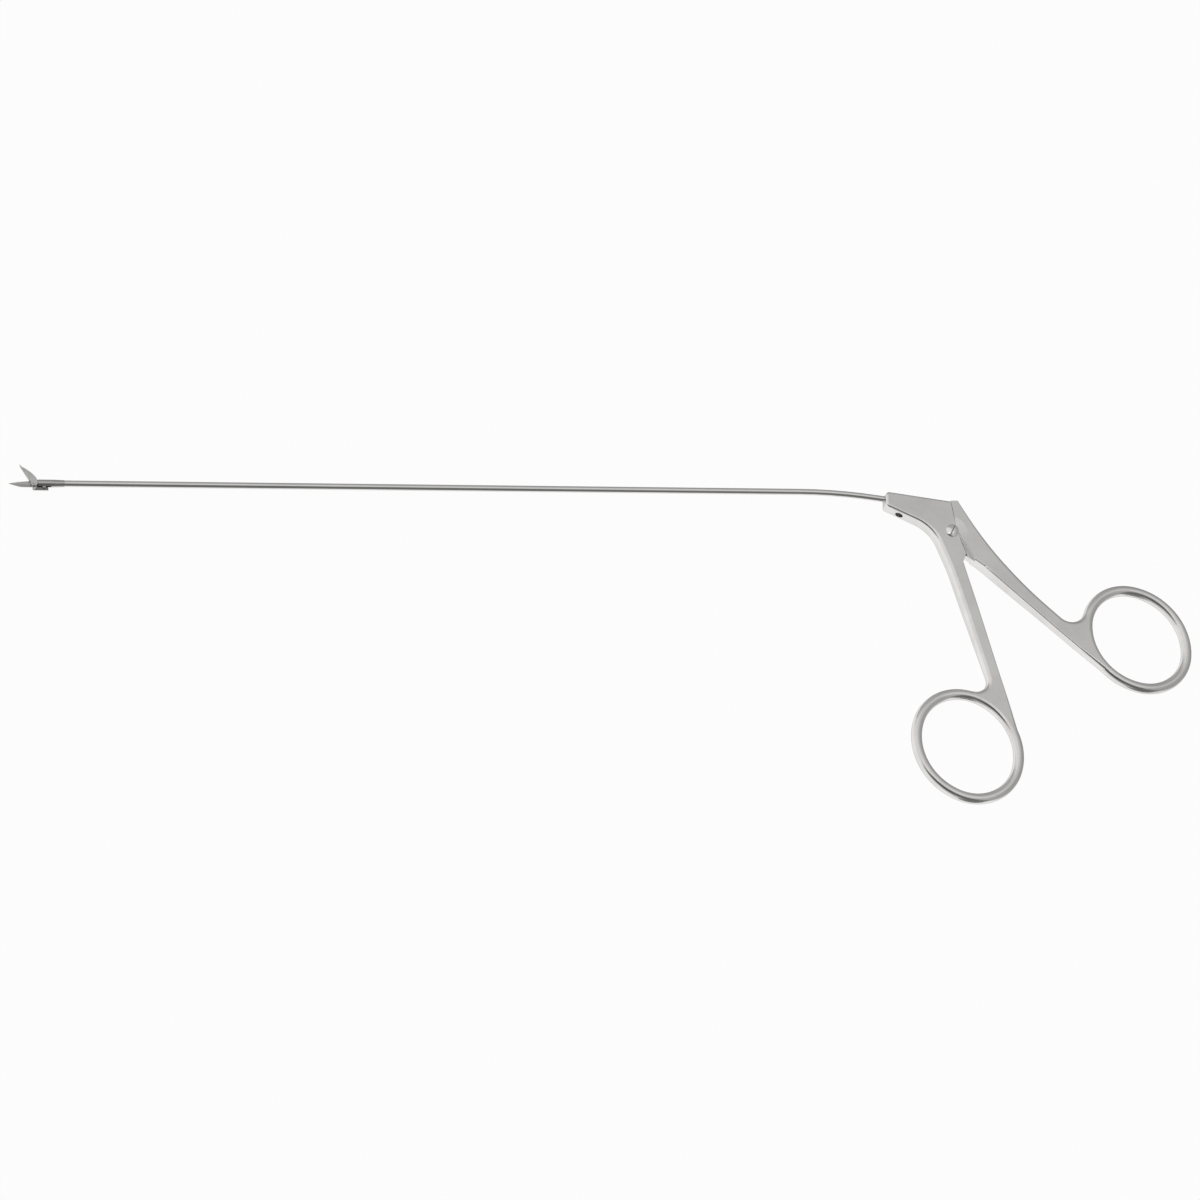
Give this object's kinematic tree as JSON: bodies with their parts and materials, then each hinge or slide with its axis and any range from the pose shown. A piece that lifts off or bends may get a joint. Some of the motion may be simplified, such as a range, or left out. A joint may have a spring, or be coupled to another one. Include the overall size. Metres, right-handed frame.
{
  "type": "alligator scissors",
  "caption": "Long-shaft ring-handled scissors: a rod in a thin bent tube pulls a short hinged blade shut against a fixed one.",
  "frame": {"origin": "under the middle of the overall box, level with the handles' lower flat faces", "axes": "+X along the shaft from the jaw to the handles, +Y up in the handles' plane towards the shaft, +Z through the thickness towards the pivot screw's head"},
  "size_m": [0.3095, 0.094, 0.0045],
  "materials": {
    "handle_steel": "satin stainless steel",
    "tube_steel": "polished stainless steel tube",
    "jaw_steel": "matt blasted stainless steel",
    "screw_steel": "polished stainless steel",
    "rod_steel": "drawn stainless steel wire"
  },
  "bodies": {
    "fixed": {"front_handle": "handle_steel", "shaft_tube": "tube_steel", "tube_set_screw": "screw_steel", "fixed_blade": "jaw_steel", "blade_rivet": "screw_steel", "pivot_screw": "screw_steel"},
    "rear_handle": {"rear_handle": "handle_steel", "rod_pin": "screw_steel"},
    "pull_rod": {"pull_rod": "rod_steel", "rod_end": "rod_steel", "link_rear_rivet": "screw_steel"},
    "moving_blade": {"moving_blade": "jaw_steel"},
    "drag_link": {"drag_link": "jaw_steel", "link_front_rivet": "screw_steel"}
  },
  "joints": [
    {"name": "handle_pivot", "type": "hinge", "parent": "fixed", "child": "rear_handle", "pos_m": [0.09163, 0.03006, 0.0019], "axis": [0, 0, -1], "range_deg": [0, 8.43]},
    {"name": "rod_slide", "type": "slide", "parent": "fixed", "child": "pull_rod", "axis": [1, 0, 0], "range_m": [0, 0.0011]},
    {"name": "blade_hinge", "type": "hinge", "parent": "fixed", "child": "moving_blade", "pos_m": [-0.14899, 0.04182, 0.0019], "axis": [0, 0, 1], "range_deg": [0, 57.5]},
    {"name": "link_hinge", "type": "hinge", "parent": "pull_rod", "child": "drag_link", "pos_m": [-0.14651, 0.041, 0.0019], "axis": [0, 0, -1], "range_deg": [0, 13.95]}
  ],
  "couplings": [
    {"joint": "rod_slide", "follows": "handle_pivot", "m_per_rad": 0.0074567},
    {"joint": "blade_hinge", "follows": "handle_pivot", "ratio": 6.8241},
    {"joint": "link_hinge", "follows": "handle_pivot", "ratio": 1.6559}
  ]
}
